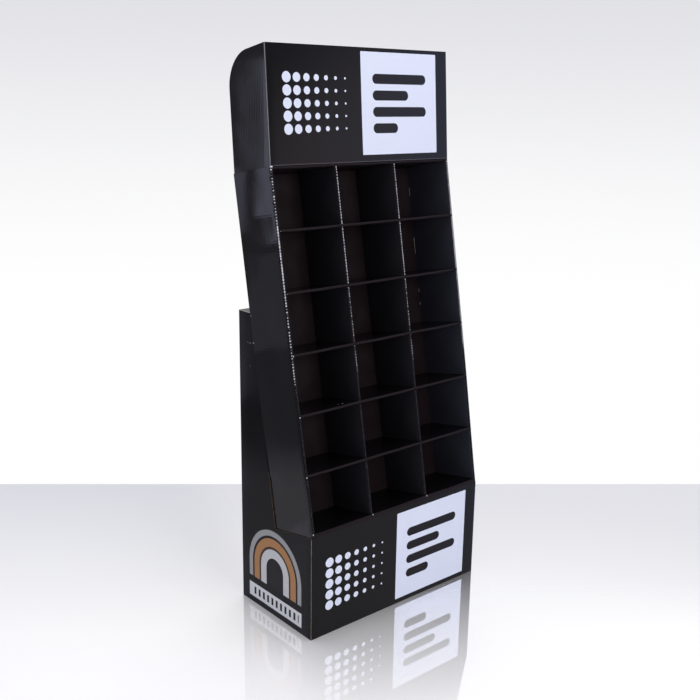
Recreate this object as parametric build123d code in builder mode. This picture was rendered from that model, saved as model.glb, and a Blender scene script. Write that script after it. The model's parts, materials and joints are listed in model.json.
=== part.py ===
from build123d import *
import os
from math import cos, radians, sin, tan

# A floor-standing display stand, folded from corrugated board. A base box with a tall
# rear support carries a tray that leans back, and a header box stands on the tray.
# X runs along the front, the front faces -Y, and Z is up. The origin is under the middle
# of the whole stand. All sizes are in millimetres and degrees.

# The base: its width over the sides, the height of its front panel, and the height and top
# depth of the rear support
stand_width = 676.0
front_height = 317.0
support_height = 914.0
support_depth = 56.0

# The board, and the room left between pieces that rest against each other
board = 4.0
fit = 0.3
side_gap = 0.5
fold_radius = 3.0

# The leaning tray, its shelves and its dividers
lean = 10.4
tray_depth = 180.0
tray_overhang = 4.0
shelf_pitch = 170.0
shelf_count = 5
column_count = 3
shelf_setback = 1.0
divider_setback = 2.0
shelf_tab_length = 60.0

# The header box and what holds it on the tray
header_lean = 4.2
header_height = 316.5
header_depth = 175.0
header_corner_radius = 100.0
header_setback = 1.0
header_tab_start = 22.0
header_tab_length = 118.0
header_tab_height = 60.0
header_tab_corner = 15.0
cover_flange = 40.0
brace_flange = 45.0
brace_rise = 20.0

# The base and the sheets inside it
bottom_flange = 60.0
glue_flap = 35.0
glue_flap_drop = 20.0
cradle_flange = 60.0
riser_place = 60.0
fin_spacing = 220.0

double = 2 * board
tan_lean = tan(radians(lean))
tan_header = tan(radians(header_lean))
inner_width = stand_width - 2 * board


def tray_point(back, up, front_y):
    """A point of the leaning tray, given from the front corner of the side cut, as (y, z)."""
    y = front_y + back * cos(radians(lean)) + up * sin(radians(lean))
    z = front_height - back * sin(radians(lean)) + up * cos(radians(lean))
    return (y, z)


# Levels up the tray, measured along its lean from the cut edge that it stands on
tray_start = fit
shelf_levels = [tray_start + board + fit + shelf_pitch * row for row in range(shelf_count + 2)]
tray_top = shelf_levels[-1] + double
tray_back = tray_depth - tray_overhang
rest_face = tray_back + fit


def header_points(front_y):
    """The four corners of the header's side, as (y, z): bottom front, bottom back, top back, top front."""
    front_place = header_setback - tray_overhang
    bottom_front = tray_point(front_place, tray_top + fit, front_y)
    bottom_back = tray_point(front_place + header_depth, tray_top + fit, front_y)
    top_front = (bottom_front[0] + header_height * tan_header, bottom_front[1] + header_height)
    rise = top_front[1] + top_front[0] * tan_lean - bottom_back[1]
    top_back_y = (bottom_back[0] + rise * tan_header) / (1 + tan_lean * tan_header)
    top_back = (top_back_y, top_front[1] - (top_back_y - top_front[0]) * tan_lean)
    return [bottom_front, bottom_back, top_back, top_front]


def rearmost(front_y):
    """How far back the header's rounded corner reaches."""
    corner_y = header_points(front_y)[2][0]
    turn = 90 - lean + header_lean
    tangent_length = header_corner_radius * tan(radians(turn / 2))
    arc_start_y = corner_y - tangent_length * sin(radians(header_lean))
    return arc_start_y + header_corner_radius * (1 - cos(radians(header_lean)))


# The front of the base is placed so that the whole stand is centred on the origin
foremost = tray_point(-tray_overhang, tray_start, 0)[0]
base_front = -(foremost + rearmost(0)) / 2
header_corners = header_points(base_front)

# The sides of the base are cut to the shape of the tray, with a short edge under it and a long
# edge behind it. The rear support reaches back from the top of the long edge.
cut_corner = tray_point(rest_face, 0, base_front)
slant_top = (cut_corner[0] + (support_height - cut_corner[1]) * tan_lean, support_height)
base_back = slant_top[0] + support_depth
base_depth = base_back - base_front

tray_plane = Plane(
    origin=(0, base_front, front_height),
    x_dir=(1, 0, 0),
    z_dir=(0, sin(radians(lean)), cos(radians(lean))),
)
tray_side_plane = Plane(
    origin=(0, base_front, front_height),
    x_dir=(0, cos(radians(lean)), -sin(radians(lean))),
    z_dir=(1, 0, 0),
)
header_front_plane = Plane(
    origin=(0, header_corners[0][0], header_corners[0][1]),
    x_dir=(1, 0, 0),
    z_dir=(0, -cos(radians(header_lean)), sin(radians(header_lean))),
)

os.makedirs("parts", exist_ok=True)


# The outer sheet of the base: front, sides, back, bottom and the flap over the rear support
with BuildPart() as base_wrap:
    with BuildSketch(Plane.YZ):
        with BuildLine():
            Polyline(
                (base_front, 0),
                (base_back, 0),
                (base_back, support_height),
                slant_top,
                cut_corner,
                (base_front, front_height),
                close=True,
            )
        make_face()
    extrude(amount=stand_width / 2, both=True)
    upright_edges = base_wrap.edges().filter_by(Axis.Z).group_by(Axis.Y)
    fillet(upright_edges[0] + upright_edges[-1], fold_radius)
    with BuildSketch(Plane.YZ):
        with Locations((base_front + board, board)):
            Rectangle(base_depth - double, support_height - double, align=Align.MIN)
    extrude(amount=inner_width / 2, both=True, mode=Mode.SUBTRACT)
    with BuildSketch(Plane.XY.offset(board)):
        for side in (-1, 1):
            with Locations((side * (inner_width - bottom_flange) / 2, (base_front + base_back) / 2)):
                Rectangle(bottom_flange, base_depth - double)
    extrude(amount=board)
    with BuildSketch(Plane.XY.offset(double)):
        with Locations((-inner_width / 2, base_back - board)):
            Rectangle(glue_flap, board, align=(Align.MIN, Align.MAX))
    extrude(amount=support_height - double - board - glue_flap_drop)
base_wrap.part.label = "base_wrap"
export_step(base_wrap.part, "parts/base_wrap.step")


# The folded sheet that carries the tray: a flange behind the front panel, a ledge level with
# the short cut edge, a rest level with the long cut edge, and a flange under the top flap.
ledge_front = tray_point((board + fit) / cos(radians(lean)), 0, base_front)
rest_top_z = support_height - board - fit
rest_top = (cut_corner[0] + (rest_top_z - cut_corner[1]) * tan_lean, rest_top_z)

with BuildPart() as tray_cradle:
    with BuildSketch(Plane.YZ):
        with BuildLine():
            Polyline(
                (ledge_front[0], ledge_front[1] - cradle_flange),
                ledge_front,
                cut_corner,
                rest_top,
                (base_back - board - fit, rest_top_z),
            )
            offset(amount=board, side=Side.RIGHT)
        make_face()
    extrude(amount=(inner_width - 2 * side_gap) / 2, both=True)
tray_cradle.part.label = "tray_cradle"
export_step(tray_cradle.part, "parts/tray_cradle.step")


# Inside the base, a long riser crosses two fins. Slots half as high as the long riser
# lock them together, and all three stand on the bottom under the ledge.
def ledge_underside(y):
    """Height just under the ledge at a given y."""
    lowered = (board + fit) / cos(radians(lean))
    return front_height - (y - base_front) * tan_lean - lowered


riser_y = base_front + riser_place
riser_foot = board + fit
riser_height = ledge_underside(riser_y + board / 2) - riser_foot
riser_width = inner_width - 2 * bottom_flange - 2 * side_gap
fin_places = [-fin_spacing / 2, fin_spacing / 2]
slot_width = board + 2 * fit
fin_front = base_front + double + 2 * fit
fin_back = base_back - board - fit

with BuildPart() as riser_long:
    with BuildSketch(Plane.XZ.offset(-riser_y - board / 2)):
        with Locations((0, riser_foot)):
            Rectangle(riser_width, riser_height, align=(Align.CENTER, Align.MIN))
        for place in fin_places:
            with Locations((place, riser_foot + riser_height / 2)):
                Rectangle(slot_width, riser_height, align=(Align.CENTER, Align.MIN), mode=Mode.SUBTRACT)
    extrude(amount=board)
riser_long.part.label = "riser_long"
export_step(riser_long.part, "parts/riser_long.step")

for name, place in zip(("riser_fin_left", "riser_fin_right"), fin_places):
    with BuildPart() as riser_fin:
        with BuildSketch(Plane.YZ.offset(place - board / 2)):
            with BuildLine():
                Polyline(
                    (fin_front, riser_foot),
                    (fin_back, riser_foot),
                    (fin_back, ledge_underside(fin_back)),
                    (fin_front, ledge_underside(fin_front)),
                    close=True,
                )
            make_face()
            with Locations((riser_y, riser_foot)):
                Rectangle(slot_width, riser_height + fit, align=Align.CENTER, mode=Mode.SUBTRACT)
        extrude(amount=board)
    riser_fin.part.label = name
    export_step(riser_fin.part, f"parts/{name}.step")


# The outer sheet of the tray: back, bottom, and sides that fold round at the front and run
# back inside themselves. The sides are level with those of the base and the header, and
# carry the header's cut edges. The inner ply has a notch for the tab of each shelf, and it
# carries on up as a tab inside the header that holds it in place.
tray_width = stand_width - 2 * side_gap
tray_inner_width = tray_width - 2 * double
tray_inner_back = tray_back - board
wall_fold_centre = board - tray_overhang
notch_height = double + 2 * fit

with BuildPart() as tray_wrap:
    with BuildSketch(tray_plane.offset(tray_start)):
        with Locations((0, tray_back)):
            Rectangle(tray_width, board, align=(Align.CENTER, Align.MAX))
        for side in (-1, 1):
            with Locations((side * (tray_width - double) / 2, wall_fold_centre)):
                Rectangle(double, tray_inner_back - wall_fold_centre, align=(Align.CENTER, Align.MIN))
                Circle(board)
    extrude(amount=tray_top - tray_start)
    with BuildSketch(tray_plane.offset(tray_start)):
        bottom_front = shelf_setback - tray_overhang + board + fit
        with Locations((0, bottom_front)):
            Rectangle(tray_inner_width, tray_inner_back - bottom_front, align=(Align.CENTER, Align.MIN))
    extrude(amount=board)
    for level in shelf_levels[1:-1]:
        with BuildSketch(tray_plane.offset(level - fit)):
            for side in (-1, 1):
                with Locations((side * (tray_inner_width + board) / 2, -tray_overhang)):
                    Rectangle(board, shelf_tab_length + fit, align=(Align.CENTER, Align.MIN))
        extrude(amount=notch_height, mode=Mode.SUBTRACT)
    for side in (-1, 1):
        with BuildSketch(tray_side_plane.offset(side * (tray_inner_width + board) / 2)) as header_tab:
            with Locations((header_tab_start, tray_top)):
                Rectangle(header_tab_length, header_tab_height, align=Align.MIN)
            fillet(header_tab.vertices().group_by(Axis.Y)[-1], header_tab_corner)
        extrude(amount=board / 2, both=True)
tray_wrap.part.label = "tray_wrap"
export_step(tray_wrap.part, "parts/tray_wrap.step")


# The shelves are double sheets folded round at the front. The five between the bottom and
# the top have a tab at each end, and slots in their rear half for the dividers.
column_pitch = (tray_inner_width + double) / column_count
divider_places = [column_pitch * (gap - column_count / 2) for gap in range(1, column_count)]
shelf_width = tray_inner_width - 2 * fit
shelf_front = shelf_setback - tray_overhang
shelf_back = tray_inner_back - fit
lap_line = (shelf_front + shelf_back) / 2
lap_width = double + 2 * fit
shelf_tab_end = shelf_tab_length - tray_overhang


def shelf_profile(level):
    """The side view of a double shelf with its rounded front fold."""
    with Locations((shelf_front + board, level + board)):
        Rectangle(shelf_back - shelf_front - board, double, align=(Align.MIN, Align.CENTER))
        Circle(board)


with BuildPart() as bottom_shelf:
    with BuildSketch(tray_side_plane):
        shelf_profile(shelf_levels[0])
        with Locations((shelf_front, tray_start + fit)):
            Rectangle(board, shelf_levels[0] + board - tray_start - fit, align=Align.MIN)
    extrude(amount=shelf_width / 2, both=True)
bottom_shelf.part.label = "bottom_shelf"
export_step(bottom_shelf.part, "parts/bottom_shelf.step")

for row, level in enumerate(shelf_levels[1:-1], start=1):
    with BuildPart() as shelf:
        with BuildSketch(tray_side_plane):
            shelf_profile(level)
        extrude(amount=shelf_width / 2 + board, both=True)
        with BuildSketch(tray_plane.offset(level)):
            for side in (-1, 1):
                with Locations((side * (shelf_width + tray_width) / 2, shelf_tab_end)):
                    Rectangle(tray_width, tray_depth, align=(Align.CENTER, Align.MIN))
            for place in divider_places:
                with Locations((place, lap_line - fit / 2)):
                    Rectangle(lap_width, tray_depth, align=(Align.CENTER, Align.MIN))
        extrude(amount=double, mode=Mode.SUBTRACT)
    shelf.part.label = f"shelf_{row}"
    export_step(shelf.part, f"parts/shelf_{row}.step")

with BuildPart() as top_shelf:
    with BuildSketch(tray_side_plane):
        shelf_profile(shelf_levels[-1])
    extrude(amount=shelf_width / 2, both=True)
top_shelf.part.label = "top_shelf"
export_step(top_shelf.part, "parts/top_shelf.step")


# The dividers are double sheets folded round at the front, with slots in their front half
# that the shelves pass through.
divider_front = divider_setback - tray_overhang
divider_foot = shelf_levels[0] + double + fit
divider_head = shelf_levels[-1] - fit
divider_names = ("divider_left", "divider_right")

for name, place in zip(divider_names, divider_places):
    with BuildPart() as divider:
        with BuildSketch(tray_plane.offset(divider_foot)):
            with Locations((place, divider_front + board)):
                Rectangle(double, shelf_back - divider_front - board, align=(Align.CENTER, Align.MIN))
                Circle(board)
        extrude(amount=divider_head - divider_foot)
        for level in shelf_levels[1:-1]:
            with BuildSketch(tray_plane.offset(level - fit)):
                with Locations((place, lap_line + fit / 2)):
                    Rectangle(lap_width, tray_depth, align=(Align.CENTER, Align.MAX))
            extrude(amount=notch_height, mode=Mode.SUBTRACT)
    divider.part.label = name
    export_step(divider.part, f"parts/{name}.step")


# The header's outer sheet: a front panel and two sides with a large round corner at the top
# back. It stands on the top of the tray and leans back less than the tray does.
with BuildSketch(Plane.YZ) as header_side:
    with BuildLine():
        Polyline(*header_corners, close=True)
    make_face()
    fillet(header_side.vertices().sort_by(Axis.X)[-1], header_corner_radius)

with BuildPart() as header_wrap:
    extrude(header_side.sketch, amount=stand_width / 2, both=True)
    lean_axis = Axis((0, 0, 0), (0, sin(radians(header_lean)), cos(radians(header_lean))))
    fillet(header_wrap.edges().filter_by(lean_axis).group_by(Axis.Y)[0], fold_radius)
    with Locations(header_front_plane.offset(-board)):
        Box(
            inner_width,
            3 * header_height,
            2 * header_depth,
            align=(Align.CENTER, Align.CENTER, Align.MAX),
            mode=Mode.SUBTRACT,
        )
header_wrap.part.label = "header_wrap"
export_step(header_wrap.part, "parts/header_wrap.step")


# The sheet that closes the header's back and top. It stands on the tray's top, follows the
# round corner between the sides, and ends in a flange glued behind the front panel.
bottom_front, bottom_back, top_back, top_front = header_corners
behind_front = (board + fit) / cos(radians(header_lean))
cover_end_y = top_front[0] + behind_front / (1 + tan_lean * tan_header)
cover_end = (cover_end_y, top_front[1] - (cover_end_y - top_front[0]) * tan_lean)
flange_end = (
    cover_end[0] - cover_flange * sin(radians(header_lean)),
    cover_end[1] - cover_flange * cos(radians(header_lean)),
)
cover_width = inner_width - 2 * side_gap
cover_fold_radius = board + 1

with BuildPart() as header_cover:
    with BuildSketch(Plane.YZ):
        with BuildLine():
            FilletPolyline(
                bottom_back,
                top_back,
                cover_end,
                flange_end,
                radius=(header_corner_radius, cover_fold_radius),
            )
            offset(amount=board, side=Side.LEFT)
        make_face()
        add(header_side.sketch_local, mode=Mode.INTERSECT)
    extrude(amount=cover_width / 2, both=True)
header_cover.part.label = "header_cover"
export_step(header_cover.part, "parts/header_cover.step")


# A folded brace in the middle of the header: a web from front to back, and a flange glued
# behind the front panel under the cover's own flange.
front_length = header_height / cos(radians(header_lean))
brace_face = header_front_plane.offset(-board - fit)
cover_room = cover_flange + double

with BuildPart() as header_brace:
    with BuildSketch(Plane.YZ.offset(-board / 2)):
        add(header_side.sketch_local)
        offset(amount=-board - fit, mode=Mode.REPLACE)
    extrude(amount=board)
    with BuildSketch(brace_face):
        with Locations((0, front_length - cover_room)):
            Rectangle(double, header_height, align=(Align.CENTER, Align.MIN))
    extrude(amount=-cover_fold_radius - fit, mode=Mode.SUBTRACT)
    with BuildSketch(brace_face):
        with Locations((-board / 2, brace_rise)):
            Rectangle(brace_flange, front_length - cover_room - brace_rise, align=Align.MIN)
    extrude(amount=-board)
header_brace.part.label = "header_brace"
export_step(header_brace.part, "parts/header_brace.step")
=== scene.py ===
# %% [markdown]
# # A cardboard display stand, dressed in Blender
#
# The stand is folded from corrugated board: a base box with a tall rear support, a tray of
# open pockets that leans back against it, and a header box with a round top back corner.
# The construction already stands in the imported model. This lesson gives it its looks: the
# slow waves of the tall walls, the small dents along the folds, the raw cut edges, the worn
# creases, and the glossy print.

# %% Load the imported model
import json
import math
import random

import bpy
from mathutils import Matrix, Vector

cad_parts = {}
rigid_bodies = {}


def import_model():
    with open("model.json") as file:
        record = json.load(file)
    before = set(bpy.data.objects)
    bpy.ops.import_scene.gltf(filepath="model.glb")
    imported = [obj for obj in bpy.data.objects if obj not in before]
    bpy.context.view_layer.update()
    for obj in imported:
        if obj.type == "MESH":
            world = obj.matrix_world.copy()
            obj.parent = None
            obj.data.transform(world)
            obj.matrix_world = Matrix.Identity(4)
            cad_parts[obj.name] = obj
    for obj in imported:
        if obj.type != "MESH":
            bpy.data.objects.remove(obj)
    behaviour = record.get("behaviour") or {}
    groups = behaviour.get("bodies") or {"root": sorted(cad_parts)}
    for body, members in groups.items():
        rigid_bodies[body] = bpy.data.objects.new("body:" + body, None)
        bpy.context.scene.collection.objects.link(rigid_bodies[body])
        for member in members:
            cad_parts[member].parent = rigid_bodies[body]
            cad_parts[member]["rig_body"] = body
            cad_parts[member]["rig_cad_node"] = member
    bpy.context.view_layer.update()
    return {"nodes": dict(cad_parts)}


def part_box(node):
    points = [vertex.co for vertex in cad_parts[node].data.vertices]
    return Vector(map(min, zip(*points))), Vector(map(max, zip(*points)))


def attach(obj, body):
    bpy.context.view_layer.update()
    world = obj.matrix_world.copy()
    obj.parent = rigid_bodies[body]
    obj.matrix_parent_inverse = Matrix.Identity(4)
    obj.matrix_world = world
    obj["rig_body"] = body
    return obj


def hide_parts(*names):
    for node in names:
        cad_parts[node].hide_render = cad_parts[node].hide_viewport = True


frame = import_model()
nodes = frame["nodes"]
print("pieces loaded:", len(nodes))

# %% [markdown]
# ## The sizes that the looks follow
#
# Everything below is worked out from a few sizes of the real board and of the stand. The
# lean of the tray is read from two of its shelves, so it can't disagree with the model.

# %% Sizes in metres, and the tray's own directions
MM = 0.001
BOARD = 4 * MM
FLUTE_PITCH = 8 * MM
FRONT_HEIGHT = 317 * MM
TOUCHING = 0.01 * MM  # closer than this is the same place

base_low, base_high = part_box("base_wrap")
tray_low, tray_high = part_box("tray_wrap")
header_low, header_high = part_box("header_wrap")


def middle(node):
    """Centre of a node's box."""
    low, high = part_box(node)
    return (low + high) / 2


climb = middle("shelf_5") - middle("shelf_1")
LEAN = math.atan2(climb.y, climb.z)
UP_TRAY = Vector((0, math.sin(LEAN), math.cos(LEAN)))
INTO_TRAY = Vector((0, math.cos(LEAN), -math.sin(LEAN)))
TRAY_CORNER = Vector((0, base_low.y, FRONT_HEIGHT))
TRAY_TOP = 1032.6 * MM  # up the lean, where the walls end
TRAY_INSIDE = 172 * MM  # into the tray, where its back stands
WALL_MIDDLE = tray_high.x - BOARD  # between the two plies of a side wall


def tray_place(point):
    """A point's distance into the tray and up its lean, from the top of the front panel."""
    offset = point - TRAY_CORNER
    return offset.dot(INTO_TRAY), offset.dot(UP_TRAY)


print("the tray leans back", round(math.degrees(LEAN), 2), "degrees")

# %% [markdown]
# ## The camera
#
# The photograph was taken from the left, a little above the middle of the stand. The place
# and the turn were fitted to the corners of the base and the header and to the shelf ends.

# %% Camera
bpy.ops.object.camera_add(
    location=(-1.8636, -2.1237, 1.5193),
    rotation=tuple(math.radians(turn) for turn in (75.176, -0.789, -40.314)),
)
camera = bpy.context.object
camera.name = "camera"
camera.data.lens = 49.56
camera.data.sensor_width = 36.0
camera.data.dof.use_dof = False
bpy.context.scene.camera = camera
bpy.context.scene.view_settings.view_transform = "Standard"

# %% [markdown]
# ## Nodes and colours
#
# Every finish is built from shader nodes. One small function adds a node, sets it and links
# what goes into it, so that each material below reads as a recipe. Colours are written as
# the hex values a print shop would use, and one function turns them to linear light.


# %% Helpers for materials
def linear(code):
    """A hex colour such as 'c8a07a' as linear red, green, blue and alpha."""
    channels = [int(code[i:i + 2], 16) / 255 for i in (0, 2, 4)]
    light = [c / 12.92 if c <= 0.04045 else ((c + 0.055) / 1.055) ** 2.4 for c in channels]
    return (*light, 1.0)


def add(tree, kind, *inputs, out=0, named=None, **settings):
    """Adds a node, gives it its settings and its inputs in order or by name, and returns an output."""
    made = tree.nodes.new("ShaderNode" + kind)
    for key, value in settings.items():
        setattr(made, key, value)
    places = dict(enumerate(inputs))
    places.update(named or {})
    for key, value in places.items():
        if isinstance(value, bpy.types.NodeSocket):
            tree.links.new(value, made.inputs[key])
        elif value is not None:
            made.inputs[key].default_value = value
    return made.outputs[out] if made.outputs else None


def new_material(name):
    """An empty node material and its tree."""
    material = bpy.data.materials.new(name)
    material.use_nodes = True
    material.node_tree.nodes.clear()
    return material, material.node_tree


def place_in_mm(tree):
    """The piece's own coordinates, in millimetres."""
    place = add(tree, "TexCoord", out="Object")
    return add(tree, "VectorMath", place, named={"Scale": 1000.0}, operation="SCALE")


def along(tree, place, direction):
    """How far a place lies along a direction."""
    return add(tree, "VectorMath", place, tuple(direction), operation="DOT_PRODUCT", out="Value")


def blend(tree, amount, below, above):
    """One colour below, another above, mixed by amount."""
    return add(tree, "Mix", named={0: amount, 6: below, 7: above}, out=2, data_type="RGBA")


def spread(tree, value, low, high, to_low=0.0, to_high=1.0):
    """Takes the stretch from low to high to another one, softly, and holds it at both ends."""
    return add(tree, "MapRange", value, low, high, to_low, to_high, interpolation_type="SMOOTHSTEP")


def noise(tree, place, scale, detail):
    """Soft uneven grain, finer with a larger scale."""
    return add(tree, "TexNoise", named={"Vector": place, "Scale": scale, "Detail": detail})


def finish(tree, colour, roughness, bump, ior, distance):
    """The surface itself: a plain varnished or bare board with a fine relief."""
    relief = add(tree, "Bump", 1.0, distance, named={"Height": bump})
    surface = add(
        tree,
        "BsdfPrincipled",
        named={"Base Color": colour, "Roughness": roughness, "IOR": ior, "Normal": relief},
    )
    add(tree, "OutputMaterial", surface)


print("a mid grey card is", round(linear("808080")[0], 3), "in linear light")

# %% [markdown]
# ## Shapes that are printed
#
# A print is flat ink, so it is drawn in the material, with the panel's own coordinates. One
# shape is enough for it: a rounded bar, which with round enough corners is a disc. An arch
# is the upper half of a disc on top of a straight bar, with smaller arches drawn over it.


# %% Helpers for printed shapes
def bar(tree, place, centre, size, corner=0.0):
    """1 inside a rounded bar, 0 outside. A size of 0 is the direction that points off the panel."""
    flat = tuple(1.0 if s else 0.0 for s in size)
    half = tuple(max(s / 2 - corner, 0.0) for s in size)
    offset = add(tree, "VectorMath", place, centre, operation="SUBTRACT")
    offset = add(tree, "VectorMath", offset, flat, operation="MULTIPLY")
    offset = add(tree, "VectorMath", offset, operation="ABSOLUTE")
    offset = add(tree, "VectorMath", offset, half, operation="SUBTRACT")
    offset = add(tree, "VectorMath", offset, (0.0, 0.0, 0.0), operation="MAXIMUM")
    distance = add(tree, "VectorMath", offset, operation="LENGTH", out="Value")
    return add(tree, "Math", distance, corner + 0.01, operation="LESS_THAN")


def either(tree, *masks):
    """1 where any of the masks is 1."""
    joined = masks[0]
    for mask in masks[1:]:
        joined = add(tree, "Math", joined, mask, operation="MAXIMUM")
    return joined


def both(tree, first, second):
    """1 where both masks are 1."""
    return add(tree, "Math", first, second, operation="MULTIPLY")


# %% [markdown]
# ## The printed board
#
# The outer liner is white paper, printed black and laminated with a thin glossy film. The
# eye gets a deep black that mirrors the lamps softly, a faint washboard where the flutes
# show through, a little cloudiness where hands have touched it, and raw paper wherever a
# fold has cracked the ink. On the tray's front folds that pale line is also a painted
# highlight. The flutes run one way through a sheet, so each sheet says in which direction
# their rows follow one another.


# %% Material: laminated black print
FLUTE_TURN = 2 * math.pi / (FLUTE_PITCH / MM)  # how far the flutes' wave turns in a millimetre
WASHBOARD_RELIEF = 0.004  # reliefs of the film, in millimetres
PEEL_RELIEF = 0.02
CRACK_RELIEF = -0.2


def flute_wave(tree, place, rows):
    """A wave from -1 to 1 that follows the rows of flutes."""
    phase = add(tree, "Math", along(tree, place, rows), FLUTE_TURN, operation="MULTIPLY")
    return add(tree, "Math", phase, operation="SINE")


def laminated_print(name, ink, raw, flute_rows, roughness=0.12, ior=1.3, print_over=None):
    """Black print on white paper under a gloss film, with cracked folds that show the raw paper, and along
    the tray's folds a painted highlight in the same raw colour.
    """
    material, tree = new_material(name)
    place = place_in_mm(tree)
    washboard = flute_wave(tree, place, flute_rows)
    peel = noise(tree, place, 0.12, 3.0)
    clouds = noise(tree, place, 0.012, 4.0)
    fibres = noise(tree, place, 0.9, 4.0)
    # The point attribute holds wear, and on the tray's folds a painted highlight too.
    wear_or_highlight = add(tree, "Attribute", attribute_name="wear_and_highlight", out="Fac")
    ragged = add(tree, "Math", fibres, 0.5, operation="SUBTRACT")
    cracks_and_highlight = spread(tree, add(tree, "Math", wear_or_highlight, ragged, operation="ADD"), 0.3, 0.6)
    cracks_and_highlight = both(tree, cracks_and_highlight, spread(tree, wear_or_highlight, 0.02, 0.3))
    colour = linear(ink)
    if print_over:
        colour = print_over(tree, place, colour)
    colour = blend(tree, cracks_and_highlight, colour, linear(raw))
    shine = spread(tree, clouds, 0.35, 0.7, roughness * 0.8, roughness * 1.3)
    shine = add(tree, "Math", shine, cracks_and_highlight, operation="ADD", use_clamp=True)
    relief = add(tree, "Math", washboard, WASHBOARD_RELIEF, operation="MULTIPLY")
    for height, amount in ((peel, PEEL_RELIEF), (cracks_and_highlight, CRACK_RELIEF)):
        relief = add(tree, "Math", height, amount, relief, operation="MULTIPLY_ADD")
    finish(tree, colour, shine, relief, ior, MM)
    return material


# %% [markdown]
# ## Raw board
#
# Where the sheet is cut, the two flat liners and the wave between them show as a tan line
# with dark gaps. Inside the box nobody prints anything: there the board is plain kraft
# paper, with short fibres and a dull finish.


# %% Materials: cut edge and plain kraft
WAVE_SHARE = 0.38  # how far from the board's middle the wavy paper reaches, in boards
PAPER_SHARE = 0.12  # half the thickness of the wavy paper, in boards
INK_BLUR = 3.0


def cut_edge(name, flute_rows, depth_from, tone="857567", gap="33291f", shadow_above=None):
    """Liners and flutes of a cut board. depth_from is the direction through the board. Above the last
    height given, the edge is painted near black: a painted shadow.
    """
    material, tree = new_material(name)
    place = place_in_mm(tree)
    wave = add(tree, "Math", flute_wave(tree, place, flute_rows), WAVE_SHARE, operation="MULTIPLY")
    depth = add(tree, "Math", along(tree, place, depth_from), BOARD / MM, operation="DIVIDE")
    depth = add(tree, "Math", add(tree, "Math", depth, operation="FRACT"), 0.5, operation="SUBTRACT")
    medium = add(tree, "Math", add(tree, "Math", depth, wave, operation="SUBTRACT"), operation="ABSOLUTE")
    from_middle = add(tree, "Math", depth, operation="ABSOLUTE")
    liner = add(tree, "Math", from_middle, WAVE_SHARE, operation="GREATER_THAN")
    paper = either(tree, liner, add(tree, "Math", medium, PAPER_SHARE, operation="LESS_THAN"))
    fibres = noise(tree, place, 0.25, 4.0)
    colour = blend(tree, fibres, linear(tone), linear(gap))
    colour = blend(tree, paper, linear(gap), colour)
    # Painted shadow: above this height the cut edge fades to near black.
    if shadow_above:
        height = along(tree, place, (0, 0, 1))
        painted_shadow = spread(tree, height, shadow_above - INK_BLUR, shadow_above + INK_BLUR)
        colour = blend(tree, painted_shadow, colour, linear("0b0a0d"))
    finish(tree, colour, 0.85, paper, 1.45, 0.4 * MM)
    return material


def kraft_liner(name):
    """Unprinted brown paper with short fibres."""
    material, tree = new_material(name)
    place = place_in_mm(tree)
    stretched = add(tree, "VectorMath", place, (0.5, 0.5, 0.12), operation="MULTIPLY")
    fibres = noise(tree, stretched, 1.0, 5.0)
    clouds = noise(tree, place, 0.01, 2.0)
    colour = blend(tree, fibres, linear("a9855c"), linear("c29f74"))
    colour = blend(tree, spread(tree, clouds, 0.3, 0.7, 0.0, 0.35), colour, linear("94714b"))
    finish(tree, colour, 0.8, fibres, 1.45, 0.05 * MM)
    return material


# %% [markdown]
# ## The prints
#
# A stand like this carries large print on the front of the base and of the header and a
# smaller one on its side. Here both fronts have a pale field with plain bars beside a field
# of dots that shrink to the right, and the side has arches over a ticked strip. All of it
# is a general pattern in the colours of such prints: pale blue white, tan, brown and grey.

# %% Sizes of the prints, in millimetres
PALE = "dfe6f8"
INK = "15141a"
BASE_PRINT_MIDDLE = 158.0
HEADER_PRINT_MIDDLE = 1496.0
FIELD_SIZE = (298.0, 0.0, 286.0)
FIELD_X = 141.0
FIELD_CORNER = 2.0
BAR_LENGTHS = (212.0, 140.0, 212.0, 96.0)
BAR_THICK = 28.0
BAR_STEP = 46.0
DOT_PITCH = 34.0
DOT_COLUMNS = 7
DOT_ROWS = 5
DOT_LEFT = -288.0
DOT_LARGEST = 14.5
DOT_SHRINK = 1.9
SIDE_Y = -8.0
ARCH_FOOT = 144.0
ARCH_LEG = 56.0
ARCH_RINGS = (
    (130.0, "a9aaad"), (112.0, INK), (104.0, "b9875a"),
    (78.0, "4a3428"), (70.0, "d8d9dc"), (42.0, INK),
)
ABOVE_FOOT = (0.0, 300.0, 200.0)
STRIP_MIDDLE = 42.0
STRIP_SIZE = (0.0, 262.0, 46.0)
TICKS_SIZE = (0.0, 236.0, 24.0)
TICK_PITCH = 22.0
TICK_SHARE = 0.45
BASE_RIM_X = -336.0
BASE_RIM_SIZE = (4.5, 0.0, 1.0)
HEADER_RIM_HEIGHT = 1334.5
HEADER_RIM_SIZE = (676.0, 0.0, 2.0)


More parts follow.
